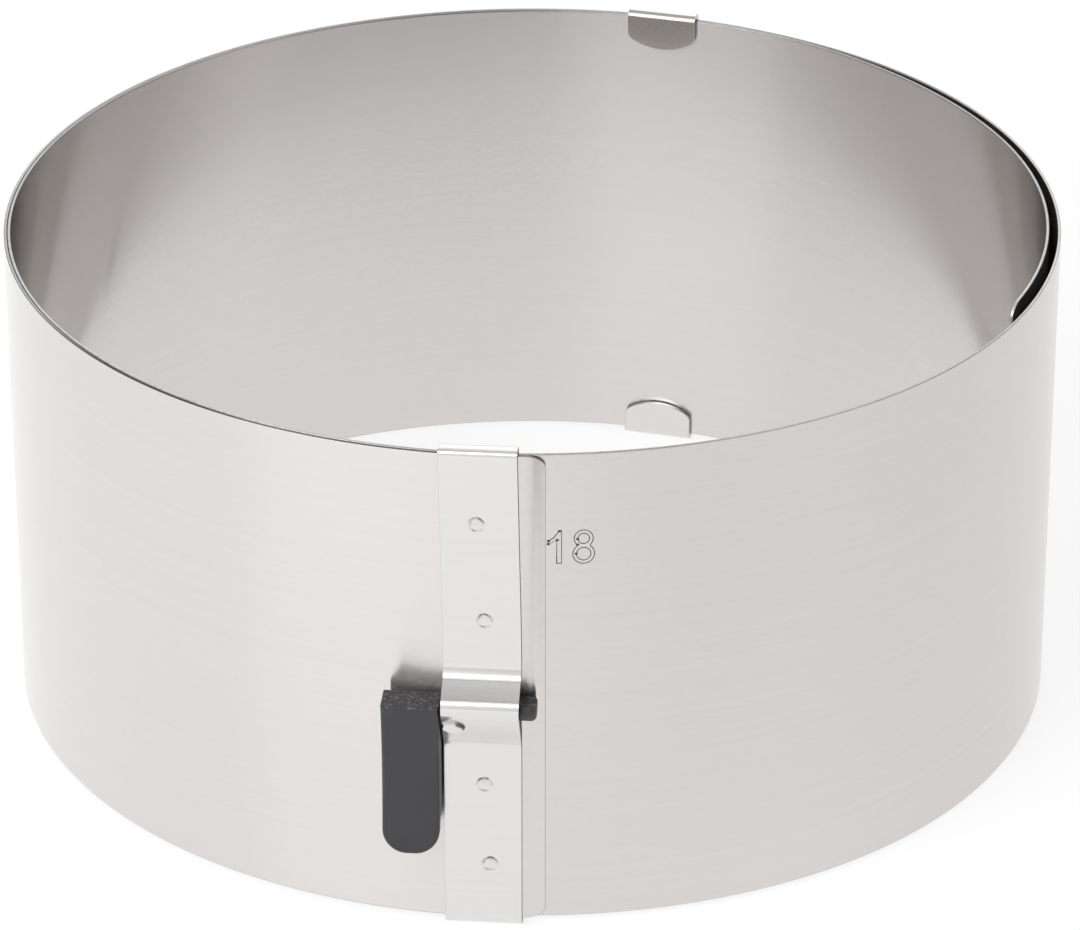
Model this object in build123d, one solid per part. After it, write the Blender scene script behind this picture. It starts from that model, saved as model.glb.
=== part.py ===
# Adjustable cake ring: a sprung steel strip coiled in two layers, a clamp strap welded near its
# outer end, a cam lever turning in the strap's loop, and a guide that slides round both layers.
#
# Sizes are in millimetres and degrees. The ring's axis is Z and the clamp is at the front, on the
# -Y side. Angles round the ring start at the front and grow to the right, seen from the front.
# Heights start at the surface that the ring stands on.

import os
from math import ceil, cos, radians, sin, sqrt

from build123d import *

# Strip
ring_diameter = 180.0
strip_height = 85.0
strip_thickness = 0.5
layer_gap = 0.1
end_corner_radius = 3.4
outer_end_angle = 1.4
inner_end_angle = 64.0
step_start_angle = 58.0
step_end_angle = 8.0
tail_angle = 152.0
tail_spring = 2.2

# Both straps
strap_width = 12.6
strap_thickness = 0.8
fold_radius = 0.3
edge_clearance = 0.2
seat_clearance = 0.03
layer_play = 0.15
tab_length = 6.9
tab_crown = 2.0
tab_corner_radius = 0.8

# Clamp strap
clamp_angle = -5.0
flank_angle = 58.0
ramp_angle = 32.0
flank_room = 0.5
crest_radius = 1.2
top_root_radius = 1.6
bottom_root_radius = 3.2
weld_radius = 1.2
weld_depth = 0.12
weld_place_shares = ((-0.06, 0.853), (0.03, 0.655), (0.01, 0.304), (0.06, 0.135))
dent_radius = 1.9
dent_depth = 0.45
dent_inset = 1.9
dent_drop = 1.8

# Cam lever
axle_radius = 2.1
axle_height = 42.05
axle_flat = 1.2
axle_clearance = 0.15
press_clearance = 0.22
stub_length = 2.6
stub_edge_radius = 0.9
neck_depth = 0.5
neck_clearance = 0.2
handle_clearance = 0.35
handle_width = 9.3
handle_drop = 27.25
handle_depth = 5.6
handle_corner_radius = 4.0
handle_hollow = 1.5
handle_edge_radius = 0.5
lip_flare = 0.5
lip_thickness = 2.0
lip_height = 5.6
heel_radius = 2.4

# Slide guide
guide_angle = 164.4

# Values that follow
ring_radius = ring_diameter / 2
layers_thickness = 2 * strip_thickness + layer_gap
foot_height = strap_thickness + edge_clearance
rim_height = foot_height + strip_height
overall_height = rim_height + edge_clearance + strap_thickness
half_strap = strap_width / 2
inner_face_radius = ring_radius - layers_thickness
strap_bow = inner_face_radius - sqrt(inner_face_radius**2 - half_strap**2)
tab_face = -(layers_thickness + strap_bow + layer_play)
axle_out = axle_radius + press_clearance
flat_half_width = sqrt(axle_radius**2 - axle_flat**2)
handle_top = axle_height + axle_flat
handle_back = axle_out - flat_half_width
handle_front = handle_back + handle_depth
handle_bottom = handle_top - handle_drop
handle_right = -half_strap - handle_clearance


def towards(angle, distance):
    # Point at a distance from the ring's axis, at an angle from the front.
    return Vector(sin(radians(angle)), -cos(radians(angle)), 0) * distance


def strip_stretches():
    # Centre, middle radius and the angles from and to of each stretch. The strip runs to the left
    # from its outer end, so the angles fall, and each stretch starts in line with the last one.
    outer = ring_radius - strip_thickness / 2
    inner = outer - strip_thickness - layer_gap
    half_step = (step_start_angle - step_end_angle) / 2
    swing = (outer - inner) / (2 * (1 - cos(radians(half_step))))
    step_start = step_start_angle - 360
    step_end = step_end_angle - 360
    step_middle = (step_start + step_end) / 2
    tail_start = tail_angle - 720
    tail_end = inner_end_angle - 720
    return [
        (Vector(), outer, outer_end_angle, step_start),
        (towards(step_start, swing), outer - swing, step_start, step_middle),
        (towards(step_end, -swing), inner + swing, step_middle, step_end),
        (Vector(), inner, step_end, tail_start),
        (towards(tail_start, tail_spring), inner - tail_spring, tail_start, tail_end),
    ]


def strip_face_edges(side):
    # Arcs of the outside face (side 1) or the inside face (side -1), a quarter turn each at most.
    edges = []
    for centre, middle_radius, start, end in strip_stretches():
        radius = middle_radius + side * strip_thickness / 2
        count = ceil(abs(end - start) / 90)
        sweep = (end - start) / count
        edges += [CenterArc(centre, radius, start - 90 + i * sweep, sweep) for i in range(count)]
    return edges


def make_strip():
    outside = strip_face_edges(1)
    inside = strip_face_edges(-1)
    outer_end = Line(outside[0] @ 0, inside[0] @ 0)
    inner_end = Line(outside[-1] @ 1, inside[-1] @ 1)
    section = make_face(outside + [inner_end] + inside + [outer_end])
    strip = extrude(Pos(0, 0, foot_height) * section, amount=strip_height)
    corners = strip.edges().filter_by(lambda edge: edge.length < strip_thickness + layer_gap)
    return fillet(corners, end_corner_radius)


def side_plane(right):
    # Plane across the ring at the front: its X runs outwards from the strip's outside face, its Y
    # is the height, and it extrudes to the left.
    return Plane(origin=(right, -ring_radius, 0), x_dir=(0, -1, 0), z_dir=(-1, 0, 0))


def line_meeting(angle_1, distance_1, angle_2, distance_2):
    # Where two lines meet, each given by the direction of its normal, counted from outwards to
    # up, and its distance from the axle. The point is (outwards, height).
    a1, a2 = radians(angle_1), radians(angle_2)
    turn = sin(a2 - a1)
    out = (distance_1 * sin(a2) - distance_2 * sin(a1)) / turn
    up = (distance_2 * cos(a1) - distance_1 * cos(a2)) / turn
    return (axle_out + out, axle_height + up)


def loop_corners():
    # Corners of the loop's inside face before its bends, from the top: the steep flank leaves the
    # plate, and the long ramp runs back to it. Both clear the axle.
    ramp_reach = axle_radius + axle_clearance
    flank_reach = ramp_reach + flank_room
    plate_reach = axle_out - seat_clearance
    return [
        line_meeting(flank_angle, flank_reach, 180, plate_reach),
        line_meeting(flank_angle, flank_reach, -ramp_angle, ramp_reach),
        line_meeting(-ramp_angle, ramp_reach, 180, plate_reach),
    ]


def strap_sheet(loop, loop_bends):
    # Sheet folded over the strip's top and bottom edges, drawn by the face that lies on the strip.
    top = rim_height + edge_clearance
    bottom = foot_height - edge_clearance
    corners = [
        (tab_face, overall_height - tab_length),
        (tab_face, top),
        (seat_clearance, top),
        *loop,
        (seat_clearance, bottom),
        (tab_face, bottom),
        (tab_face, tab_length),
    ]
    bends = [fold_radius, fold_radius, *loop_bends, fold_radius, fold_radius]
    path = FilletPolyline(*corners, radius=bends)
    section = make_face(offset(path, amount=strap_thickness, side=Side.LEFT))
    return extrude(side_plane(half_strap) * section, amount=strap_width)


def tab_waste(end_height, up):
    # What is cut from a tab's end to leave it crowned, with rounded corners.
    depth = 3 * strap_thickness
    crown_radius = (half_strap**2 + tab_crown**2) / (2 * tab_crown)
    blank = Rectangle(strap_width, 2 * tab_crown, align=(Align.CENTER, Align.MIN))
    tongue = Pos(0, crown_radius) * Circle(crown_radius) & Rectangle(
        strap_width, 4 * tab_crown, align=(Align.CENTER, Align.MIN)
    )
    tongue = fillet(tongue.vertices().group_by(Axis.Y)[0], tab_corner_radius)
    waste = extrude(blank - tongue, amount=depth / 2, both=True)
    turn = 90 if up else -90
    middle_of_tab = -ring_radius - tab_face + strap_thickness / 2
    return Pos(0, middle_of_tab, end_height) * Rot(turn, 0, 0) * waste


def make_strap(loop=(), loop_bends=()):
    strap = strap_sheet(loop, loop_bends)
    strap -= tab_waste(overall_height - tab_length, True)
    return strap - tab_waste(tab_length, False)


def weld_marks():
    # Shallow round marks where the strap is spot welded to the strip.
    marks = []
    for across_share, height_share in weld_place_shares:
        place = Plane(
            origin=(
                across_share * strap_width,
                -ring_radius - seat_clearance - strap_thickness,
                height_share * overall_height,
            ),
            z_dir=(0, 1, 0),
        )
        marks.append(place * Cylinder(weld_radius, 2 * weld_depth))
    return marks


def dent_ball_radius():
    return (dent_radius**2 + dent_depth**2) / (2 * dent_depth)


def dent_plane():
    # Plane on the ramp's outside face with its origin at the middle of the dent and Z outwards.
    tilt = radians(ramp_angle)
    reach = axle_radius + axle_clearance + strap_thickness
    out = axle_out + reach * cos(tilt) - dent_drop * sin(tilt)
    up = axle_height - reach * sin(tilt) - dent_drop * cos(tilt)
    middle = (-half_strap + dent_inset, -ring_radius - out, up)
    return Plane(origin=middle, x_dir=(1, 0, 0), z_dir=(0, -cos(tilt), -sin(tilt)))


def press_dent(strap):
    # Ball-shaped dent by the loop's left edge. The bump behind it sits at the axle's neck.
    ball = dent_ball_radius()
    centre = Pos(0, 0, ball - dent_depth)
    sheet = Box(
        dent_inset + 2 * dent_radius,
        4 * dent_radius,
        2 * strap_thickness,
        align=(Align.MIN, Align.CENTER, Align.MAX),
    )
    bump = centre * Sphere(ball + strap_thickness) & Pos(-dent_inset, 0, 0) * sheet
    return strap + dent_plane() * bump - dent_plane() * centre * Sphere(ball)


def make_clamp_strap():
    strap = make_strap(loop_corners(), [top_root_radius, crest_radius, bottom_root_radius])
    for mark in weld_marks():
        strap -= mark
    return Rot(0, 0, clamp_angle) * press_dent(strap)


def handle_profile():
    # Side view: flat top, hollow front, straight back with a rounded heel, and a thin lip that
    # stands away from the strip. The lip runs past the handle's end, which the front view cuts.
    below = handle_bottom - lip_thickness
    top_back = (handle_back, handle_top)
    top_front = (handle_front, handle_top)
    lip_front = (handle_front + lip_flare, below)
    hollow = ((handle_front + lip_front[0]) / 2 - handle_hollow, (handle_top + below) / 2)
    lip_back = (lip_front[0] - lip_thickness, below)
    lip_root = (handle_back + heel_radius, handle_bottom + lip_height)
    heel_share = 1 - sqrt(0.5)
    heel_middle = (
        handle_back + heel_share * heel_radius,
        lip_root[1] + heel_share * heel_radius,
    )
    heel_top = (handle_back, lip_root[1] + heel_radius)
    return make_face(
        [
            Line(top_back, top_front),
            ThreePointArc(top_front, hollow, lip_front),
            Line(lip_front, lip_back),
            Line(lip_back, lip_root),
            ThreePointArc(lip_root, heel_middle, heel_top),
            Line(heel_top, top_back),
        ]
    )


def handle_front_view():
    # Front view: straight sides and rounded bottom corners.
    middle = handle_right - handle_width / 2
    radius = handle_corner_radius
    downwards = (Align.CENTER, Align.MAX)
    view = Rectangle(handle_width, handle_drop - radius, align=downwards)
    view += Rectangle(handle_width - 2 * radius, handle_drop, align=downwards)
    for side in (-1, 1):
        view += Pos(side * (handle_width / 2 - radius), radius - handle_drop) * Circle(radius)
    return Pos(middle, handle_top) * view


def make_handle():
    handle = extrude(side_plane(handle_right) * handle_profile(), amount=handle_width)
    handle &= extrude(Plane.XZ * handle_front_view(), amount=2 * ring_radius)
    front = handle.faces().filter_by(GeomType.CYLINDER).sort_by(SortBy.AREA)[-1]
    handle = fillet(front.edges(), handle_edge_radius)
    lip_back = [
        face
        for face in handle.faces().filter_by(GeomType.PLANE)
        if face.center().Z < handle_bottom + lip_height and abs(face.normal_at().X) < 0.5
    ]
    return fillet(lip_back[0].edges().sort_by(Axis.Z)[:-1], handle_edge_radius)


def make_axle():
    # Round bar from the handle through the loop, with a rounded free end and a flat along its
    # top. Beside the handle its neck is thinner, so that the dent's bump keeps it in the loop.
    length = half_strap + stub_length - handle_right
    neck_length = dent_inset + dent_radius + neck_clearance - half_strap - handle_right
    upwards = (Align.CENTER, Align.CENTER, Align.MIN)
    bar = Cylinder(axle_radius, length, align=upwards)
    bar = fillet(bar.edges().group_by(Axis.Z)[-1], stub_edge_radius)
    bar -= Cylinder(2 * axle_radius, neck_length, align=upwards) - Cylinder(
        axle_radius - neck_depth, neck_length, align=upwards
    )
    bar = Pos(handle_right, -ring_radius - axle_out, axle_height) * Rot(0, 90, 0) * bar
    above = Box(2 * length, ring_radius, axle_radius, align=upwards)
    return bar - Pos(0, -ring_radius - axle_out, handle_top) * above


def make_lever():
    return Rot(0, 0, clamp_angle) * (make_axle() + make_handle())


def make_guide():
    return Rot(0, 0, guide_angle) * make_strap()


def main():
    os.makedirs("parts", exist_ok=True)
    nodes = {
        "band": make_strip(),
        "clamp_strap": make_clamp_strap(),
        "cam_lever": make_lever(),
        "slide_guide": make_guide(),
    }
    for name, solid in nodes.items():
        export_step(solid, f"parts/{name}.step")
        print(name, len(solid.solids()), "solid", round(solid.volume, 2), "cubic mm")


main()
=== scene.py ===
from math import ceil, cos, hypot, pi, radians, sin, sqrt, tan

import bmesh
import bpy
from mathutils import Matrix, Vector


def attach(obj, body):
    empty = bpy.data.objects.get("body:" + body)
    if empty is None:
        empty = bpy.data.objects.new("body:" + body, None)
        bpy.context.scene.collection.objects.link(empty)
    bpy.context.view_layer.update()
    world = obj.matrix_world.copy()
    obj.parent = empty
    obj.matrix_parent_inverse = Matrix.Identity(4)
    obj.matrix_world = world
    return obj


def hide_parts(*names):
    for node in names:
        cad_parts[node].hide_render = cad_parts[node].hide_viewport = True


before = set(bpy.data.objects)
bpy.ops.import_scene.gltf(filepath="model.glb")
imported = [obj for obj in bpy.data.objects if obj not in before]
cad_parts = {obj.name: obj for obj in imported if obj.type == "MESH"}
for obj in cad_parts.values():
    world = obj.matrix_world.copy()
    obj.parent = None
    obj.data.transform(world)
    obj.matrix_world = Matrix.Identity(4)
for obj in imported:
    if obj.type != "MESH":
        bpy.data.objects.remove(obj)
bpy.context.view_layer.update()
print("frame loaded:", len(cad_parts), "nodes")

# The clamp is built facing -Y and then turned round the ring to its place. Lengths are in mm here
# and become metres when a piece is finished.
mm = 0.001


# Studio values, which a user would change to relight the ring
studio = {
    "floorHalf": 4.0,           # half the floor's side, in metres
    "floorColour": (0.95, 0.95, 0.95),
    "floorGlow": 0.8,           # share of the floor that is plain white to the camera and to metal
    "floorShine": 1.23,         # how bright the floor looks in metal, where it is lightest
    "floorSpan": (-0.2, 0.2),   # from where on the left to where on the right its painted light in metal gets darker
    "floorLevels": [(0.15, 1.0), (0.4, 0.97), (0.55, 0.93), (0.75, 0.86), (1.0, 0.82)],
    "shine": 1.17,              # how bright the white sky looks in metal
    "skyLevel": 0.78,           # its light on everything else
    # How light the studio is all round, as metal shows it: degrees to the right of the camera and
    # levels, with a large soft lamp on the camera's left and the darker room on its right.
    "roomLevels": [
        (-180, 1.0), (-155, 0.3), (-130, 0.3), (-90, 0.45), (-64, 0.65), (-50, 0.95), (-12, 1.0),
        (-1, 0.1), (34, 0.03), (50, 0.6), (62, 0.75), (85, 0.5), (110, 0.35), (150, 0.35), (180, 1.0),
    ],
    "roomTop": (0.75, 0.93),    # sines of the elevations between which the room meets the ceiling
    "zenith": (0.965, 0.98, 0.990),   # sines where the overhead lamp's frame starts, and its cloth
    "zenithLevels": (0.0, 0.85),      # how light they are
    "keyPower": 12.0,
    "keyPlace": (-0.62, -0.8, 0.8),
    "keySize": 0.9,
    "fillPower": 1.0,
    "fillPlace": (0.8, -0.7, 0.7),
    "fillSize": 1.2,
    "backPower": 1.1,
    "backPlace": (0.0, 1.2, 0.66),
    "backSize": 0.9,
}

camera = {
    "focal": 5725.0,            # in pixels of the photo
    "photoWidth": 1080,
    "sensor": 36.0,             # millimetres
    "distance": 1.0,
    "elevation": 27.46,
    "target": (0.0013, 0.0, 0.0377),
    "clip": (0.05, 20.0),
}


# Materials


def nodeOf(tree, kind, label, **values):
    node = tree.nodes.new(kind)
    node.label = label
    for name, value in values.items():
        node.inputs[name].default_value = value
    return node


def mathOf(tree, operation, first, second, label=""):
    node = tree.nodes.new("ShaderNodeMath")
    node.operation = operation
    node.label = label
    for socket, value in zip(node.inputs, (first, second)):
        if isinstance(value, (int, float)):
            socket.default_value = value
        else:
            tree.links.new(value, socket)
    return node.outputs[0]


def rampOf(tree, factor, stops, label=""):
    node = tree.nodes.new("ShaderNodeValToRGB")
    node.label = label
    while len(node.color_ramp.elements) < len(stops):
        node.color_ramp.elements.new(0.5)
    for element, (place, level) in zip(node.color_ramp.elements, stops):
        element.position = place
        element.color = level if len(level) == 4 else (*level, 1)
    tree.links.new(factor, node.inputs["Fac"])
    return node.outputs["Color"]


def easedStep(tree, value, low, high, label):
    step = nodeOf(tree, "ShaderNodeMapRange", label)
    step.interpolation_type = "SMOOTHSTEP"
    step.inputs["From Min"].default_value = low
    step.inputs["From Max"].default_value = high
    tree.links.new(value, step.inputs["Value"])
    return step.outputs["Result"]


def newGroup(name, inputs, outputs):
    group = bpy.data.node_groups.new(name, "ShaderNodeTree")
    for label, kind, value in inputs:
        socket = group.interface.new_socket(label, in_out="INPUT", socket_type=kind)
        if value is not None:
            socket.default_value = value
    for label, kind in outputs:
        group.interface.new_socket(label, in_out="OUTPUT", socket_type=kind)
    return group, group.nodes.new("NodeGroupInput"), group.nodes.new("NodeGroupOutput")


def makeBrushing():
    # Fine brushing lines along U, longer and fainter streaks, and hairlines too fine to be seen one
    # by one, all as values about one half.
    group, inside, outside = newGroup(
        "steelBrushing",
        [
            ("Vector", "NodeSocketVector", None),
            ("Line Length", "NodeSocketFloat", 40.0),
            ("Line Width", "NodeSocketFloat", 0.15),
        ],
        [("Lines", "NodeSocketFloat"), ("Streaks", "NodeSocketFloat"), ("Hairlines", "NodeSocketFloat")],
    )
    parts = nodeOf(group, "ShaderNodeSeparateXYZ", "along and across")
    group.links.new(inside.outputs["Vector"], parts.inputs[0])
    layers = []
    # How much finer than a line each layer is, across and along: two of lines, streaks, hairlines.
    for share, shortness in ((1.0, 1.0), (3.1, 3.1), (0.22, 0.22), (20.0, 16.0)):
        along = mathOf(group, "DIVIDE", parts.outputs["X"], inside.outputs["Line Length"])
        across = mathOf(group, "DIVIDE", parts.outputs["Y"], inside.outputs["Line Width"])
        joined = nodeOf(group, "ShaderNodeCombineXYZ", "stretched", Z=share)
        group.links.new(mathOf(group, "MULTIPLY", along, shortness), joined.inputs["X"])
        group.links.new(mathOf(group, "MULTIPLY", across, share), joined.inputs["Y"])
        noise = nodeOf(group, "ShaderNodeTexNoise", "lines", Scale=1.0, Detail=3.0, Roughness=0.6)
        group.links.new(joined.outputs[0], noise.inputs["Vector"])
        layers.append(noise.outputs["Fac"])
    both = mathOf(group, "ADD", layers[0], layers[1])
    group.links.new(mathOf(group, "MULTIPLY", both, 0.5), outside.inputs["Lines"])
    group.links.new(layers[2], outside.inputs["Streaks"])
    group.links.new(layers[3], outside.inputs["Hairlines"])
    return group


def newMaterial(name):
    material = bpy.data.materials.new(name)
    material.use_nodes = True
    tree = material.node_tree
    return material, tree, tree.nodes["Principled BSDF"]


# How high a full line and a full grain would stand, in metres
lineRelief = 0.00002
grainRelief = 0.00003


def makeSteel(name, look, brushing):
    material, tree, shader = newMaterial(name)
    shader.inputs["Metallic"].default_value = 1.0
    shader.inputs["Anisotropic"].default_value = look["anisotropy"]
    shader.inputs["Anisotropic Rotation"].default_value = 0.25
    tangent = tree.nodes.new("ShaderNodeTangent")
    tangent.direction_type = "UV_MAP"
    tangent.uv_map = "sheet"
    tree.links.new(tangent.outputs[0], shader.inputs["Tangent"])
    place = tree.nodes.new("ShaderNodeUVMap")
    place.uv_map = "sheet"
    lines = tree.nodes.new("ShaderNodeGroup")
    lines.node_tree = brushing
    lines.inputs["Line Length"].default_value = look["lineLength"]
    lines.inputs["Line Width"].default_value = look["lineWidth"]
    tree.links.new(place.outputs[0], lines.inputs["Vector"])
    tone = mathOf(tree, "ADD", lines.outputs["Lines"], lines.outputs["Streaks"])
    tone = mathOf(tree, "MULTIPLY", tone, 0.5)
    colour = rampOf(tree, tone, [(0.35, look["darkColour"]), (0.65, look["colour"])], "tone")
    tree.links.new(colour, shader.inputs["Base Color"])
    smooth, rough = look["roughness"]
    low, high = 0.5 - look["lineBlend"], 0.5 + look["lineBlend"]
    stops = [(low, (smooth, smooth, smooth)), (high, (rough, rough, rough))]
    finish = rampOf(tree, lines.outputs["Hairlines"], stops, "finish")
    tree.links.new(finish, shader.inputs["Roughness"])
    bump = nodeOf(tree, "ShaderNodeBump", "brushing", Strength=look["lineDepth"], Distance=lineRelief)
    tree.links.new(lines.outputs["Lines"], bump.inputs["Height"])
    tree.links.new(bump.outputs[0], shader.inputs["Normal"])
    return material


def addWelds(material, look):
    # The welds' worn rims, with a burnt line round them. The brown tint is the welds' own; its being
    # strongest along their tops is painted shade of the hollows' upper walls. The discs themselves are
    # pressed in the sheet.
    tree = material.node_tree
    shader = tree.nodes["Principled BSDF"]
    place = next(node for node in tree.nodes if node.bl_idname == "ShaderNodeUVMap")
    nearest = rise = None
    for index, centre in enumerate(look["places"]):
        reach = tree.nodes.new("ShaderNodeVectorMath")
        reach.operation = "SUBTRACT"
        reach.label = f"weld {index + 1}"
        reach.inputs[1].default_value = (*centre, 0)
        tree.links.new(place.outputs[0], reach.inputs[0])
        span = tree.nodes.new("ShaderNodeVectorMath")
        span.operation = "LENGTH"
        tree.links.new(reach.outputs[0], span.inputs[0])
        height = tree.nodes.new("ShaderNodeSeparateXYZ")
        tree.links.new(reach.outputs[0], height.inputs[0])
        near = mathOf(tree, "LESS_THAN", span.outputs["Value"], look["radius"] * 2)
        upward = mathOf(tree, "MULTIPLY", near, height.outputs["Y"])
        away = span.outputs["Value"]
        nearest = away if nearest is None else mathOf(tree, "MINIMUM", nearest, away)
        rise = upward if rise is None else mathOf(tree, "ADD", rise, upward)
    wobble = nodeOf(tree, "ShaderNodeTexNoise", "uneven edge", Scale=1.1, Detail=3.0)
    tree.links.new(place.outputs[0], wobble.inputs["Vector"])
    spread = mathOf(tree, "MULTIPLY", mathOf(tree, "SUBTRACT", wobble.outputs["Fac"], 0.5), look["wobble"])
    across = mathOf(tree, "DIVIDE", mathOf(tree, "ADD", nearest, spread), look["radius"] * 2)
    black, white = (0, 0, 0), (1, 1, 1)
    faint, lower = (look["discShare"],) * 3, (look["lowerShare"],) * 3
    stops = [(0.0, faint), (0.33, faint), (0.45, white), (0.53, white), (0.6, black)]
    edge = rampOf(tree, across, stops, "weld's edge")
    # Painted shade: the burnt line is made darkest along each weld's top, where its hollow's upper wall is
    # in shade.
    towardsShadedTop = mathOf(tree, "ADD", mathOf(tree, "DIVIDE", rise, look["radius"] * 2), 0.5)
    stops = [(0.0, lower), (0.3, black), (0.62, lower), (0.95, white)]
    share = rampOf(tree, towardsShadedTop, stops, "strongest at the top")
    faded = nodeOf(tree, "ShaderNodeTexNoise", "where the edge is dark", Scale=0.9, Detail=2.0)
    tree.links.new(place.outputs[0], faded.inputs["Vector"])
    worn = rampOf(tree, faded.outputs["Fac"], [(0.4, (0.35, 0.35, 0.35)), (0.58, white)], "worn share")
    mask = mathOf(tree, "MULTIPLY", mathOf(tree, "MULTIPLY", edge, share), worn)
    tint = tree.nodes.new("ShaderNodeMix")
    tint.data_type = "RGBA"
    tint.label = "burnt edge"
    steel = shader.inputs["Base Color"].links[0].from_socket
    tree.links.new(mask, tint.inputs["Factor"])
    tree.links.new(steel, tint.inputs[6])
    tint.inputs[7].default_value = (*look["colour"], 1)
    tree.links.new(tint.outputs[2], shader.inputs["Base Color"])
    stops = [(0.0, (0.5, 0.5, 0.5)), (0.3, (0.3, 0.3, 0.3)), (0.44, black), (0.56, white)]
    hollow = rampOf(tree, across, stops, "hollow")
    bump = nodeOf(tree, "ShaderNodeBump", "welds", Strength=1.0, Distance=look["depth"] * mm)
    tree.links.new(hollow, bump.inputs["Height"])
    brushed = shader.inputs["Normal"].links[0].from_socket
    tree.links.new(brushed, bump.inputs["Normal"])
    tree.links.new(bump.outputs[0], shader.inputs["Normal"])


def makeShadedCutEdge(name, look):
    # The sheet's cut edge: rougher, and painted lighter or darker along the strip, as painted light and
    # shade.
    material, tree, shader = newMaterial(name)
    shader.inputs["Metallic"].default_value = 1.0
    place = tree.nodes.new("ShaderNodeUVMap")
    place.uv_map = "sheet"
    parts = nodeOf(tree, "ShaderNodeSeparateXYZ", "along the edge")
    tree.links.new(place.outputs[0], parts.inputs[0])
    share = mathOf(tree, "DIVIDE", parts.outputs["X"], look["length"])
    stops = [(at, (level, level * 0.985, level * 0.965)) for at, level in look["levels"]]
    # Painted light and shade along the edge, from the look's levels.
    tone = rampOf(tree, share, stops, "tone along")
    grain = nodeOf(tree, "ShaderNodeTexNoise", "shear marks", Scale=1.6, Detail=4.0, Roughness=0.7)
    tree.links.new(place.outputs[0], grain.inputs["Vector"])
    speckle = rampOf(tree, grain.outputs["Fac"], [(0.3, (0.7, 0.7, 0.7)), (0.6, (1, 1, 1))], "shear tone")
    both = tree.nodes.new("ShaderNodeMix")
    both.data_type, both.blend_type = "RGBA", "MULTIPLY"
    both.inputs["Factor"].default_value = 1.0
    tree.links.new(tone, both.inputs[6])
    tree.links.new(speckle, both.inputs[7])
    tree.links.new(both.outputs[2], shader.inputs["Base Color"])
    rough = mathOf(tree, "ADD", mathOf(tree, "MULTIPLY", grain.outputs["Fac"], 0.2), look["roughness"] - 0.1)
    tree.links.new(rough, shader.inputs["Roughness"])
    return material


bandLook = {
    "colour": (0.634, 0.612, 0.599),
    "darkColour": (0.614, 0.592, 0.579),
    "roughness": (0.11, 0.27),  # between and in the brushed hairlines
    "lineBlend": 0.1,
    "anisotropy": 0.97,
    "lineLength": 30.0,
    "lineWidth": 0.2,
    "lineDepth": 0.02,
}

strapLook = {
    "colour": (0.67, 0.66, 0.649),
    "darkColour": (0.65, 0.639, 0.627),
    "roughness": (0.12, 0.18),
    "lineBlend": 0.1,
    "anisotropy": 0.3,
    "lineLength": 20.0,
    "lineWidth": 0.25,
    "lineDepth": 0.02,
}

# Painted shade: a darker copy of the strap's steel for the inside of the guide's upper tab, standing in for
# the shade and dark reflections it shows.
tabShadeLook = {
    **strapLook,
    "colour": (0.40, 0.375, 0.355),
    "darkColour": (0.36, 0.335, 0.315),
    "roughness": (0.2, 0.3),
}

weldLook = {
    "radius": 1.2,
    "rim": 1.3,             # where the sheet starts to get thinner, and over what width
    "slope": 0.4,
    "pressed": 0.05,        # by how much
    "rowReach": 1.6,        # how far above and below it the sheet is cut in rows
    "rowWidth": 0.2,
    "depth": 0.05,          # relief of its edge
    "wobble": 0.35,         # how far its outline strays
    "lowerShare": 0.5,      # how strong the burnt line is along its bottom, against its top, where painted shade makes it strongest
    "discShare": 0.2,       # and inside
    "colour": (0.16, 0.12, 0.085),
    "places": [(-0.4, 74.1), (0.5, 56.8), (0.25, 26.6), (1.1, 11.7)],   # on the strap, from its foot
}

# How light the cut edge is along the strip from its outer end, round the outer layer and then the inner one,
# as shares of the length and levels. These levels are painted light and shade, standing in for the
# highlights, reflections and shade along the rims.
bandEdgeShadeLook = {
    "length": 1040.0,
    "roughness": 0.4,
    "levels": [
        (0.0, 0.35), (0.008, 0.1), (0.03, 0.09), (0.045, 0.16), (0.06, 0.05), (0.08, 0.07),
        (0.1, 0.4), (0.16, 0.55), (0.22, 0.5), (0.27, 0.35), (0.34, 0.28), (0.38, 0.6), (0.43, 0.65),
        (0.46, 0.5), (0.53, 0.42), (0.56, 0.35), (0.59, 0.6), (0.64, 0.6), (0.72, 0.5), (0.8, 0.22),
        (0.87, 0.4), (1.0, 0.7),
    ],
}

# Here the shares run from the strap's middle, as shares of its width, to its right edge, which is painted
# dark as painted shade of the gap beside the strap.
strapEdgeShadeLook = {"length": 12.6, "roughness": 0.3, "levels": [(0.0, 0.55), (0.42, 0.45), (0.48, 0.06)]}

plasticLook = {
    "colour": (0.019, 0.0185, 0.021),
    "paleColour": (0.10, 0.095, 0.1),
    "roughness": 0.45,
    "grain": 0.35,
    "grainScale": 2500.0,
    "tornScale": 1500.0,
    "patchScale": 160.0,
    "roughTop": 43.1,       # height in mm above which the handle's end is left rough from the mould
    "roughBlend": 0.25,
}


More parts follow.
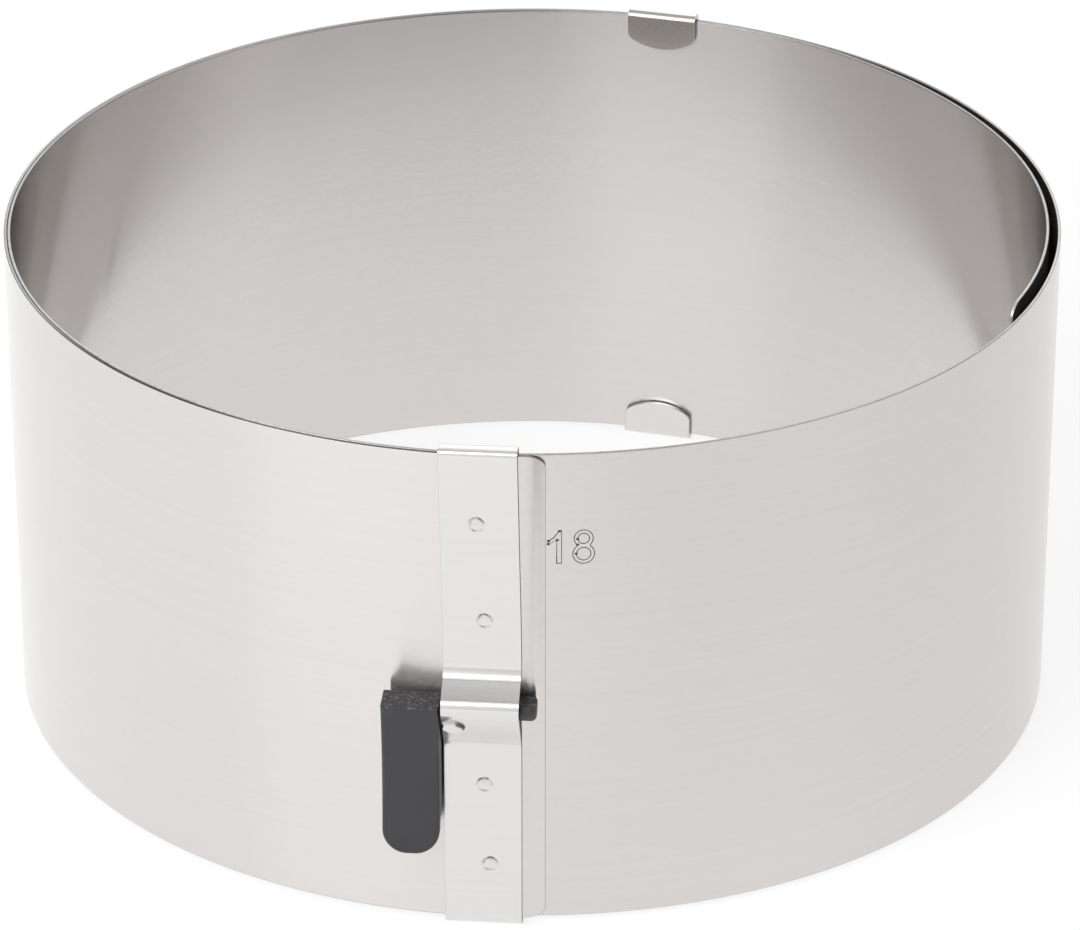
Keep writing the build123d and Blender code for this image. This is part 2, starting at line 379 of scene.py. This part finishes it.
def makePlastic(name, look):
    material, tree, shader = newMaterial(name)
    place = tree.nodes.new("ShaderNodeTexCoord")
    fine = nodeOf(tree, "ShaderNodeTexNoise", "moulded grain", Scale=look["grainScale"], Detail=3.0)
    tree.links.new(place.outputs["Object"], fine.inputs["Vector"])
    coarse = nodeOf(tree, "ShaderNodeTexNoise", "torn grain", Scale=look["tornScale"], Detail=4.0)
    coarse.inputs["Roughness"].default_value = 0.7
    tree.links.new(place.outputs["Object"], coarse.inputs["Vector"])
    broad = nodeOf(tree, "ShaderNodeTexNoise", "handled patches", Scale=look["patchScale"], Detail=2.0)
    tree.links.new(place.outputs["Object"], broad.inputs["Vector"])
    parts = tree.nodes.new("ShaderNodeSeparateXYZ")
    tree.links.new(place.outputs["Object"], parts.inputs[0])
    roughFrom = look["roughTop"] - look["roughBlend"]
    end = easedStep(tree, parts.outputs["Z"], roughFrom * mm, look["roughTop"] * mm, "rough end")
    dark, pale = look["colour"], look["paleColour"]
    handled = tuple(1.25 * level for level in dark)
    specks = rampOf(tree, coarse.outputs["Fac"], [(0.5, dark), (0.62, pale)], "torn specks")
    skin = rampOf(tree, broad.outputs["Fac"], [(0.3, dark), (0.7, handled)], "skin")
    colour = tree.nodes.new("ShaderNodeMix")
    colour.data_type = "RGBA"
    tree.links.new(end, colour.inputs["Factor"])
    tree.links.new(skin, colour.inputs[6])
    tree.links.new(specks, colour.inputs[7])
    tree.links.new(colour.outputs[2], shader.inputs["Base Color"])
    worn = mathOf(tree, "MULTIPLY", broad.outputs["Fac"], 0.12)
    rough = mathOf(tree, "ADD", mathOf(tree, "MULTIPLY", end, 0.2), look["roughness"] - 0.06)
    tree.links.new(mathOf(tree, "ADD", rough, worn), shader.inputs["Roughness"])
    torn = mathOf(tree, "MULTIPLY", mathOf(tree, "MULTIPLY", coarse.outputs["Fac"], end), 6.0)
    bump = nodeOf(tree, "ShaderNodeBump", "grain", Strength=look["grain"], Distance=grainRelief)
    tree.links.new(mathOf(tree, "ADD", fine.outputs["Fac"], torn), bump.inputs["Height"])
    tree.links.new(bump.outputs[0], shader.inputs["Normal"])
    return material


brushing = makeBrushing()
bandSteel = makeSteel("bandSteel", bandLook, brushing)
clampSteel = makeSteel("clampSteel", strapLook, brushing)
addWelds(clampSteel, weldLook)
guideSteel = makeSteel("guideSteel", strapLook, brushing)
tabSteel = makeSteel("tabSteel", tabShadeLook, brushing)
bandEdge = makeShadedCutEdge("bandCutEdgeShaded", bandEdgeShadeLook)
strapEdge = makeShadedCutEdge("strapCutEdgeShaded", strapEdgeShadeLook)
leverPlastic = makePlastic("leverPlastic", plasticLook)
etchedLine, _, etchedShader = newMaterial("etchedLine")
etchedShader.inputs["Base Color"].default_value = (0.04, 0.037, 0.036, 1)
etchedShader.inputs["Metallic"].default_value = 0.3
etchedShader.inputs["Roughness"].default_value = 0.6
print("materials made")


# Shared shaping


def finishPiece(bm, name, body, materials, turn=0.0, sharpAngle=35.0):
    # Turns a shape from millimetres at the front into metres at its place, as a piece on a body.
    bmesh.ops.scale(bm, vec=(mm, mm, mm), verts=bm.verts)
    bmesh.ops.rotate(bm, cent=(0, 0, 0), matrix=Matrix.Rotation(radians(turn), 3, "Z"), verts=bm.verts)
    mesh = bpy.data.meshes.new(name)
    bm.to_mesh(mesh)
    bm.free()
    mesh.polygons.foreach_set("use_smooth", [True] * len(mesh.polygons))
    mesh.set_sharp_from_angle(angle=radians(sharpAngle))
    for material in materials:
        mesh.materials.append(material)
    piece = bpy.data.objects.new(name, mesh)
    bpy.context.scene.collection.objects.link(piece)
    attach(piece, body)
    return piece


def cutAcross(bm, normal, distances):
    # Cuts extra edge loops through the whole shape, one for each distance along the normal.
    direction = Vector(normal).normalized()
    for distance in distances:
        bmesh.ops.bisect_plane(
            bm,
            geom=bm.verts[:] + bm.edges[:] + bm.faces[:],
            dist=1e-5,
            plane_co=direction * distance,
            plane_no=direction,
        )


def steps(low, high, size):
    count = max(1, round((high - low) / size))
    return [low + (high - low) * i / count for i in range(1, count)]


# Band: a flat strip with rounded corners, thickened, its edges eased, and then coiled

band = {
    "diameter": 180.0,
    "height": 85.0,
    "foot": 1.0,              # its lower edge above the surface
    "thickness": 0.5,
    "layerGap": 0.1,
    # Angles in degrees from the front, to the right: the strip's two ends, where the outer layer
    # steps in under itself, and where the free end leaves the wall and starts its own arc.
    "outerEnd": 1.4,
    "innerEnd": 64.0,
    "stepStart": 58.0,
    "stepEnd": 8.0,
    "tail": 153.0,
    "tailMeet": 119.0,
    "tailDrop": 0.95,         # how far it has come in by then
    "tailSpring": 2.6,        # how much smaller its own radius is
    "cornerRadius": 3.4,
    "cornerFlatness": 0.6,    # the corners' height over their length
    "cornerSegments": 10,
    "edgeRound": 0.12,
    "edgeHold": 0.3,          # width of the strip of wall kept flat beside an edge
    "columnWidth": 1.6,
    "wallFacing": 0.97,       # faces that look out of the sheet less than this are its cut edge
}


def towards(angle, distance):
    return Vector((sin(radians(angle)), -cos(radians(angle)))) * distance


def bandStretches():
    # Centre, middle radius and the angles from and to of each stretch of the coil.
    outer = band["diameter"] / 2 - band["thickness"] / 2
    inner = outer - band["thickness"] - band["layerGap"]
    halfStep = radians((band["stepStart"] - band["stepEnd"]) / 2)
    swing = (outer - inner) / (2 * (1 - cos(halfStep)))
    start, end, tail = band["stepStart"] - 360, band["stepEnd"] - 360, band["tail"] - 720
    meet = band["tailMeet"] - 720
    tailSwing = band["tailDrop"] / (2 * (1 - cos(radians((tail - meet) / 2))))
    near = inner - band["tailDrop"]
    return [
        (Vector((0, 0)), outer, band["outerEnd"], start),
        (towards(start, swing), outer - swing, start, (start + end) / 2),
        (towards(end, -swing), inner + swing, (start + end) / 2, end),
        (Vector((0, 0)), inner, end, tail),
        (towards(tail, tailSwing), inner - tailSwing, tail, (tail + meet) / 2),
        (towards(meet, -tailSwing), near + tailSwing, (tail + meet) / 2, meet),
        (towards(meet, band["tailSpring"]), near - band["tailSpring"], meet, band["innerEnd"] - 720),
    ]


def coilPlace(along, out):
    # Where a point of the flat strip goes: its distance from the outer end, and how far out of the
    # strip's middle it is.
    rest = along
    for centre, radius, start, end in bandStretches():
        length = radians(start - end) * radius
        if rest <= length or end == band["innerEnd"] - 720:
            return centre + towards(start - rest / radius * 180 / pi, radius + out)
        rest -= length


def bandLength():
    return sum(radians(start - end) * radius for _, radius, start, end in bandStretches())


def distanceAt(angle, turns):
    # Distance along the strip from its outer end to an angle, on the layer after some turns.
    wanted, total = angle - 360 * turns, 0.0
    for _, radius, start, end in bandStretches():
        if wanted >= end:
            return total + radians(start - wanted) * radius
        total += radians(start - end) * radius
    return total


def makeBand():
    length, height, thickness = bandLength(), band["height"], band["thickness"]
    bm = bmesh.new()
    bmesh.ops.create_grid(bm, x_segments=1, y_segments=1, size=0.5)
    bmesh.ops.rotate(bm, cent=(0, 0, 0), matrix=Matrix.Rotation(pi / 2, 3, "X"), verts=bm.verts)
    bmesh.ops.scale(bm, vec=(length, 1, height), verts=bm.verts)
    bmesh.ops.translate(bm, vec=(length / 2, -thickness / 2, band["foot"] + height / 2), verts=bm.verts)
    bmesh.ops.bevel(
        bm, geom=bm.verts[:], offset=band["cornerRadius"], segments=band["cornerSegments"],
        profile=0.5, affect="VERTICES", material=-1,
    )
    foot, hold = band["foot"], band["edgeHold"]
    middle = foot + height / 2
    for vert in bm.verts:
        drop = height / 2 - abs(vert.co.z - middle)
        vert.co.z += (1 - band["cornerFlatness"]) * (drop if vert.co.z > middle else -drop)
    cutAcross(bm, (1, 0, 0), [hold, *steps(0, length, band["columnWidth"]), length - hold])
    cutAcross(bm, (0, 0, 1), [foot + hold, foot + height - hold])
    wall = bmesh.ops.extrude_face_region(bm, geom=bm.faces[:])
    lifted = [v for v in wall["geom"] if isinstance(v, bmesh.types.BMVert)]
    bmesh.ops.translate(bm, vec=(0, thickness, 0), verts=lifted)
    bmesh.ops.recalc_face_normals(bm, faces=bm.faces[:])
    rims = [e for e in bm.edges if len(e.link_faces) == 2 and e.calc_face_angle() > radians(60)]
    bmesh.ops.bevel(
        bm, geom=rims, offset=band["edgeRound"], segments=2, profile=0.5,
        affect="EDGES", material=-1, clamp_overlap=True,
    )
    sheetMap = bm.loops.layers.uv.new("sheet")
    for face in bm.faces:
        face.material_index = 1 if abs(face.normal.y) < band["wallFacing"] else 0
        for corner in face.loops:
            corner[sheetMap].uv = (corner.vert.co.x, corner.vert.co.z)
    for vert in bm.verts:
        spot = coilPlace(vert.co.x, vert.co.y)
        vert.co = (spot.x, spot.y, vert.co.z)
    bm.normal_update()
    piece = finishPiece(bm, "sprungBand", "ring", [bandSteel, bandEdge], sharpAngle=50)
    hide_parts("band")


makeBand()
print("band coiled:", round(bandLength()), "mm of strip")


# Straps: a sheet drawn by the face on the strip, folded, given its thickness and eased edges

strap = {
    "width": 12.6,
    "thickness": 0.8,
    "foldRadius": 0.3,
    "seatClearance": 0.03,
    "tabFace": -1.474,        # how far in the tabs' face is from the strip's outside
    "tabLength": 6.9,
    "tabCrown": 2.0,
    "tabCornerRadius": 0.8,
    "edgeRound": 0.2,
    "columnWidth": 0.3,
    "fineColumnWidth": 0.2,   # where there are welds and a dent
    "edgeColumns": (0.05, 0.15, 0.22),
    "segmentsPerMillimetre": 6,
}

loop = {
    "flankAngle": 58.0,
    "rampAngle": 32.0,
    "flankRoom": 0.5,
    "axleRadius": 2.1,
    "axleOut": 2.32,
    "axleHeight": 42.05,
    "axleClearance": 0.15,
    "topRootRadius": 3.4,
    "crestRadius": 1.2,
    "bottomRootRadius": 3.2,
}

dent = {
    "radius": 1.9,
    "depth": 0.34,
    "inset": 1.9,             # from the strap's left edge
    "drop": 1.8,              # down the ramp from beside the axle
    "fineReach": 2.7,         # how far round it the sheet is cut in fine rows
    "rowWidth": 0.27,
    "rampReach": 7.0,         # rows are cut this far above and below the axle
    "plateReach": 0.5,        # and only this far out from the strip
    "sheetReach": 0.3,        # how far off the ramp's plane a point may be to be pressed in
}

# The clamp strap's upper half leans a little to the left, as it was welded on.
lean = {"above": 53.0, "slope": 0.019}

clampAngle = -5.0
guideAngle = 164.4
overallHeight = 87.0
nearly = 1e-4


def lineMeeting(angleOne, distanceOne, angleTwo, distanceTwo):
    # Where two lines meet, each given by its normal's angle from outwards to up and its distance
    # from the axle, as (outwards, height).
    one, two = radians(angleOne), radians(angleTwo)
    turn = sin(two - one)
    out = (distanceOne * sin(two) - distanceTwo * sin(one)) / turn
    up = (distanceTwo * cos(one) - distanceOne * cos(two)) / turn
    return (loop["axleOut"] + out, loop["axleHeight"] + up)


def loopCorners():
    rampReach = loop["axleRadius"] + loop["axleClearance"]
    flankReach = rampReach + loop["flankRoom"]
    plateReach = loop["axleOut"] - strap["seatClearance"]
    return [
        (*lineMeeting(loop["flankAngle"], flankReach, 180, plateReach), loop["topRootRadius"]),
        (*lineMeeting(loop["flankAngle"], flankReach, -loop["rampAngle"], rampReach), loop["crestRadius"]),
        (*lineMeeting(-loop["rampAngle"], rampReach, 180, plateReach), loop["bottomRootRadius"]),
    ]


def pressDent(bm):
    # Ball-shaped dent in the ramp, by the loop's left edge.
    tilt = radians(loop["rampAngle"])
    reach = loop["axleRadius"] + loop["axleClearance"]
    outwards = Vector((0, -cos(tilt), -sin(tilt)))
    downRamp = Vector((0, sin(tilt), -cos(tilt)))
    axle = Vector((0, -band["diameter"] / 2 - loop["axleOut"], loop["axleHeight"]))
    centre = axle + outwards * reach + downRamp * dent["drop"]
    centre.x = dent["inset"] - strap["width"] / 2
    ball = (dent["radius"] ** 2 + dent["depth"] ** 2) / (2 * dent["depth"]) + strap["thickness"]
    for vert in bm.verts:
        offset = vert.co - centre
        height = offset.dot(outwards)
        if abs(height) > dent["sheetReach"]:
            continue
        radius = (offset - outwards * height).length
        if radius < ball:
            depth = sqrt(ball**2 - radius**2) - (ball - dent["depth"])
            if depth > 0:
                vert.co -= outwards * depth


def thinWelds(bm):
    # How thick the sheet is at each point, as a share: the welds are pressed in its outside.
    share = bm.verts.layers.deform.verify()
    for vert in bm.verts:
        reach = min(hypot(vert.co.x - x, vert.co.z - z) for x, z in weldLook["places"])
        fall = min(1.0, max(0.0, (weldLook["rim"] - reach) / weldLook["slope"]))
        vert[share][0] = 1.0 - weldLook["pressed"] / strap["thickness"] * fall**2 * (3 - 2 * fall)


def makeStrap(name, body, angle, loopPoints, dented, steel, tabSteel):
    top = overallHeight - strap["thickness"]
    bottom = strap["thickness"]
    fold, face = strap["foldRadius"], strap["tabFace"]
    seat = strap["seatClearance"]
    corners = [
        (face, overallHeight - strap["tabLength"], 0),
        (face, top, fold),
        (seat, top, fold),
        *loopPoints,
        (seat, bottom, fold),
        (face, bottom, fold),
        (face, strap["tabLength"], 0),
    ]
    half, front = strap["width"] / 2, band["diameter"] / 2
    bm = bmesh.new()
    path = [bm.verts.new((-half, -front - out, height)) for out, height, _ in corners]
    edges = [bm.edges.new(pair) for pair in zip(path, path[1:])]
    wide = bmesh.ops.extrude_edge_only(bm, edges=edges)
    moved = [v for v in wide["geom"] if isinstance(v, bmesh.types.BMVert)]
    bmesh.ops.translate(bm, vec=(strap["width"], 0, 0), verts=moved)
    for out, height, radius in corners[1:-1]:
        corner = Vector((0, -front - out, height))
        folds = [
            e for e in bm.edges
            if all(hypot(v.co.y - corner.y, v.co.z - corner.z) < nearly for v in e.verts)
        ]
        turn = folds[0].calc_face_angle()
        fineness = strap["segmentsPerMillimetre"]
        bmesh.ops.bevel(
            bm, geom=folds, offset=radius * tan(turn / 2),
            segments=max(fineness, ceil(turn * radius * fineness)),
            profile=0.5, affect="EDGES", material=-1,
        )
    besideEdges = [side * (half - inset) for side in (-1, 1) for inset in strap["edgeColumns"]]
    columnWidth = strap["fineColumnWidth"] if dented else strap["columnWidth"]
    cutAcross(bm, (1, 0, 0), steps(-half, half, columnWidth) + besideEdges)
    if dented:
        reach, rowWidth = weldLook["rowReach"], weldLook["rowWidth"]
        rows = [height + row for _, height in weldLook["places"] for row in steps(-reach, reach, rowWidth)]
        cutAcross(bm, (0, 0, 1), rows)
        thinWelds(bm)
        tilt = radians(loop["rampAngle"])
        downRamp = Vector((0, sin(tilt), -cos(tilt)))
        middle = Vector((0, -front - loop["axleOut"], loop["axleHeight"])).dot(downRamp) + dent["drop"]
        nearLoop = [
            f for f in bm.faces
            if abs(f.calc_center_median().z - loop["axleHeight"]) < dent["rampReach"]
            and f.calc_center_median().y < -front - dent["plateReach"]
        ]
        for row in steps(middle - dent["fineReach"], middle + dent["fineReach"], dent["rowWidth"]):
            itsEdges = {e for f in nearLoop for e in f.edges}
            itsVerts = {v for f in nearLoop for v in f.verts}
            cut = bmesh.ops.bisect_plane(
                bm, geom=list({*nearLoop, *itsEdges, *itsVerts}), dist=1e-5,
                plane_co=downRamp * row, plane_no=downRamp,
            )
            nearLoop = [g for g in cut["geom"] if isinstance(g, bmesh.types.BMFace)]
        pressDent(bm)
    crown = (half**2 + strap["tabCrown"] ** 2) / (2 * strap["tabCrown"])
    for vert in bm.verts:
        isUpper = vert.co.z > overallHeight / 2
        tabEnd = overallHeight - strap["tabLength"] if isUpper else strap["tabLength"]
        if abs(vert.co.z - tabEnd) < nearly and vert.co.y > -front + 1:
            lift = crown - sqrt(crown**2 - vert.co.x**2)
            rounding = max(0.0, abs(vert.co.x) - (half - strap["tabCornerRadius"]))
            lift += strap["tabCornerRadius"] - sqrt(max(0.0, strap["tabCornerRadius"] ** 2 - rounding**2))
            vert.co.z += lift if isUpper else -lift
    sheetMap = bm.loops.layers.uv.new("sheet")
    for quad in bm.faces:
        middle = quad.calc_center_median()
        # Index 2 is the upper tab's inside, which on the guide gets the darker steel as painted shade.
        quad.material_index = 2 if middle.y > -front + 1 and middle.z > overallHeight / 2 else 0
        for corner in quad.loops:
            corner[sheetMap].uv = (corner.vert.co.x, corner.vert.co.z)
    if dented:
        for vert in bm.verts:
            vert.co.x -= max(0.0, vert.co.z - lean["above"]) * lean["slope"]
    bmesh.ops.recalc_face_normals(bm, faces=bm.faces[:])
    plate = max(bm.faces, key=lambda f: f.calc_area())
    if plate.normal.y > 0:
        bmesh.ops.reverse_faces(bm, faces=bm.faces[:])
    metals = [steel, strapEdge, tabSteel, strapEdge]
    piece = finishPiece(bm, name, body, metals, turn=angle, sharpAngle=50)
    thicken = piece.modifiers.new("sheetThickness", "SOLIDIFY")
    thicken.thickness = strap["thickness"] * mm
    thicken.offset = 1.0
    thicken.use_even_offset = True
    thicken.material_offset_rim = 1
    if dented:
        thicken.vertex_group = piece.vertex_groups.new(name="sheetShare").name
    ease = piece.modifiers.new("easedEdges", "BEVEL")
    ease.width = strap["edgeRound"] * mm
    ease.segments = 2
    ease.limit_method = "ANGLE"
    ease.angle_limit = radians(50)
    ease.harden_normals = True
    ease.material = 1
    return piece


clampStrap = makeStrap("clampStrap", "ring", clampAngle, loopCorners(), True, clampSteel, clampSteel)
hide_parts("clamp_strap")
# The guide's upper tab gets the darker steel, as painted shade.
guideStrap = makeStrap("guideStrap", "guide", guideAngle, [], False, guideSteel, tabSteel)
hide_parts("slide_guide")
print("straps folded")


# Lever: the CAD's own moulding, in its own plastic

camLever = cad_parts["cam_lever"]
camLever.data.materials.clear()
camLever.data.materials.append(leverPlastic)
print("lever moulded")


# Diameter mark: outlined digits etched in the strip just right of its outer end

mark = {
    "scale": 0.92,
    "bottom": 66.54,
    "startAngle": 1.64,
    "lineRadius": 0.085,
    "dotRadius": 0.24,
    "strokeWidth": 0.85,
    "relief": 0.1,
}


def arcPoints(middle, radius, start, end, count):
    return [
        (middle[0] + radius * cos(radians(start + (end - start) * i / count)),
         middle[1] + radius * sin(radians(start + (end - start) * i / count)))
        for i in range(count + 1)
    ]


def digitOutlines():
    # The 1 and the 8 as closed and open lines, from their left lower corner.
    stroke = mark["strokeWidth"]
    one = [
        (1.5, 0), (1.5, 4.55), (0.0, 3.75), (0.1, 4.45), (1.0, 5.0), (1.95, 6.4), (2.35, 6.4),
        (2.35, 0), (1.5, 0),
    ]
    upperMiddle, upperRadius = (6.15, 4.72), 1.64
    lowerMiddle, lowerRadius = (6.15, 1.74), 1.88
    waist, lowerWaist = 41.0, 52.5
    outer = arcPoints(upperMiddle, upperRadius, -waist, 180 + waist, 30)
    outer += arcPoints(lowerMiddle, lowerRadius, 180 - lowerWaist, 360 + lowerWaist, 34)
    outer.append(outer[0])
    upperEye = arcPoints(upperMiddle, upperRadius - stroke * 0.75, 0, 360, 28)
    lowerEye = arcPoints(lowerMiddle, lowerRadius - stroke * 0.75, 0, 360, 30)
    return [one, outer, upperEye, lowerEye]


def digitDots():
    # Small burnt spots where the marking tool starts and turns.
    return [(0.12, 4.4), (0.06, 3.8), (1.98, 6.25), (1.6, 4.55), (5.1, 4.62), (5.1, 3.55), (4.85, 1.8)]


def makeMark():
    curve = bpy.data.curves.new("markLines", "CURVE")
    curve.dimensions = "3D"
    curve.bevel_depth = mark["lineRadius"]
    curve.bevel_resolution = 1
    strokes = [(outline, 1.0) for outline in digitOutlines()]
    half = mark["dotRadius"] * 0.8
    dotWidth = mark["dotRadius"] / mark["lineRadius"]
    strokes += [([(x, z - half), (x, z + half)], dotWidth) for x, z in digitDots()]
    for outline, thickness in strokes:
        spline = curve.splines.new("POLY")
        spline.points.add(len(outline) - 1)
        for point, (x, z) in zip(spline.points, outline):
            point.co = (x * mark["scale"], 0, z * mark["scale"], 1)
            point.radius = thickness
    drawn = bpy.data.objects.new("markLines", curve)
    bpy.context.scene.collection.objects.link(drawn)
    curve.use_fill_caps = True
    mesh = bpy.data.meshes.new_from_object(drawn.evaluated_get(bpy.context.evaluated_depsgraph_get()))
    bpy.data.objects.remove(drawn)
    bm = bmesh.new()
    bm.from_mesh(mesh)
    bpy.data.meshes.remove(mesh)
    start = distanceAt(mark["startAngle"], 1)
    for vert in bm.verts:
        out = band["thickness"] / 2 - vert.co.y * mark["relief"]
        spot = coilPlace(start - vert.co.x, out)
        vert.co = (spot.x, spot.y, mark["bottom"] + vert.co.z)
    finishPiece(bm, "diameterMark", "ring", [etchedLine], sharpAngle=180)


makeMark()
print("diameter mark etched")


# Floor, light and camera


def seenDirectly(tree):
    # One where the camera, metal or glass looks, and zero for the light that falls on things.
    path = tree.nodes.new("ShaderNodeLightPath")
    seen = mathOf(tree, "MAXIMUM", path.outputs["Is Camera Ray"], path.outputs["Is Glossy Ray"])
    return mathOf(tree, "MAXIMUM", seen, path.outputs["Is Transmission Ray"])


def brightnessSeen(tree, inMetal):
    # Plain white to the camera, and another level in metal's reflections.
    path = tree.nodes.new("ShaderNodeLightPath")
    extra = mathOf(tree, "SUBTRACT", inMetal, 1.0)
    return mathOf(tree, "ADD", mathOf(tree, "MULTIPLY", path.outputs["Is Glossy Ray"], extra), 1.0)


def floorInMetal(tree):
    # Painted light: in metal's reflections the floor's glow is made lighter towards the lamp on the left
    # than on the right.
    place = tree.nodes.new("ShaderNodeTexCoord")
    parts = tree.nodes.new("ShaderNodeSeparateXYZ")
    tree.links.new(place.outputs["Object"], parts.inputs[0])
    left, right = studio["floorSpan"]
    across = mathOf(tree, "DIVIDE", mathOf(tree, "SUBTRACT", parts.outputs["X"], left), right - left)
    levels = [(share, (level, level, level)) for share, level in studio["floorLevels"]]
    return mathOf(tree, "MULTIPLY", rampOf(tree, across, levels, "left to right"), studio["floorShine"])


def makeFloor():
    bm = bmesh.new()
    bmesh.ops.create_grid(bm, x_segments=1, y_segments=1, size=studio["floorHalf"])
    mesh = bpy.data.meshes.new("studioFloor")
    bm.to_mesh(mesh)
    bm.free()
    floor = bpy.data.objects.new("studioFloor", mesh)
    bpy.context.scene.collection.objects.link(floor)
    material, tree, shader = newMaterial("paleFloor")
    shader.inputs["Base Color"].default_value = (*studio["floorColour"], 1)
    shader.inputs["Roughness"].default_value = 0.9
    glow = tree.nodes.new("ShaderNodeEmission")
    tree.links.new(brightnessSeen(tree, floorInMetal(tree)), glow.inputs["Strength"])
    mix = tree.nodes.new("ShaderNodeMixShader")
    tree.links.new(mathOf(tree, "MULTIPLY", seenDirectly(tree), studio["floorGlow"]), mix.inputs["Fac"])
    tree.links.new(shader.outputs[0], mix.inputs[1])
    tree.links.new(glow.outputs[0], mix.inputs[2])
    tree.links.new(mix.outputs[0], tree.nodes["Material Output"].inputs["Surface"])
    mesh.materials.append(material)


def makeLamp(name, place, power, size):
    lamp = bpy.data.lights.new(name, "AREA")
    lamp.energy = power
    lamp.size = size
    holder = bpy.data.objects.new(name, lamp)
    holder.location = place
    holder.rotation_euler = (Vector((0, 0, 0.04)) - Vector(place)).to_track_quat("-Z", "Y").to_euler()
    bpy.context.scene.collection.objects.link(holder)


def makeSky():
    # Even light on everything, and a pale studio for metal to show.
    world = bpy.data.worlds.new("studioSky")
    bpy.context.scene.world = world
    world.use_nodes = True
    tree = world.node_tree
    plain = tree.nodes["Background"]
    plain.inputs["Color"].default_value = (1, 1, 1, 1)
    plain.inputs["Strength"].default_value = studio["skyLevel"]
    place = tree.nodes.new("ShaderNodeTexCoord")
    parts = tree.nodes.new("ShaderNodeSeparateXYZ")
    tree.links.new(place.outputs["Generated"], parts.inputs[0])
    around = mathOf(tree, "ARCTAN2", parts.outputs["X"], mathOf(tree, "MULTIPLY", parts.outputs["Y"], -1.0))
    around = mathOf(tree, "ADD", mathOf(tree, "DIVIDE", around, 2 * pi), 0.5)
    stops = [(0.5 + angle / 360, (level, level, level)) for angle, level in studio["roomLevels"]]
    walls = rampOf(tree, around, stops, "room all round")
    overhead = easedStep(tree, parts.outputs["Z"], *studio["roomTop"], "ceiling")
    frameLevel, clothLevel = studio["zenithLevels"]
    rimStart, rimMiddle, rimEnd = studio["zenith"]
    lampShare = [(rimStart, (1, 1, 1)), (rimMiddle, (frameLevel,) * 3), (rimEnd, (clothLevel,) * 3)]
    ceiling = rampOf(tree, parts.outputs["Z"], lampShare, "lamp overhead")
    level = tree.nodes.new("ShaderNodeMix")
    level.data_type = "RGBA"
    tree.links.new(overhead, level.inputs["Factor"])
    tree.links.new(walls, level.inputs[6])
    tree.links.new(ceiling, level.inputs[7])
    white = tree.nodes.new("ShaderNodeBackground")
    tree.links.new(level.outputs[2], white.inputs["Color"])
    tree.links.new(brightnessSeen(tree, studio["shine"]), white.inputs["Strength"])
    mix = tree.nodes.new("ShaderNodeMixShader")
    tree.links.new(seenDirectly(tree), mix.inputs["Fac"])
    tree.links.new(plain.outputs[0], mix.inputs[1])
    tree.links.new(white.outputs[0], mix.inputs[2])
    tree.links.new(mix.outputs[0], tree.nodes["World Output"].inputs["Surface"])


def makeCamera():
    lens = bpy.data.cameras.new("photoCamera")
    lens.sensor_width = camera["sensor"]
    lens.lens = camera["focal"] / camera["photoWidth"] * camera["sensor"]
    lens.clip_start, lens.clip_end = camera["clip"]
    holder = bpy.data.objects.new("photoCamera", lens)
    elevation = radians(camera["elevation"])
    back = Vector((0, -cos(elevation), sin(elevation)))
    holder.location = Vector(camera["target"]) + back * camera["distance"]
    holder.rotation_euler = (pi / 2 - elevation, 0, 0)
    bpy.context.scene.collection.objects.link(holder)
    bpy.context.scene.camera = holder


makeFloor()
makeLamp("keyLamp", studio["keyPlace"], studio["keyPower"], studio["keySize"])
makeLamp("fillLamp", studio["fillPlace"], studio["fillPower"], studio["fillSize"])
makeLamp("backLamp", studio["backPlace"], studio["backPower"], studio["backSize"])
makeSky()
makeCamera()
bpy.context.scene.view_settings.view_transform = "Standard"
print("studio lit")
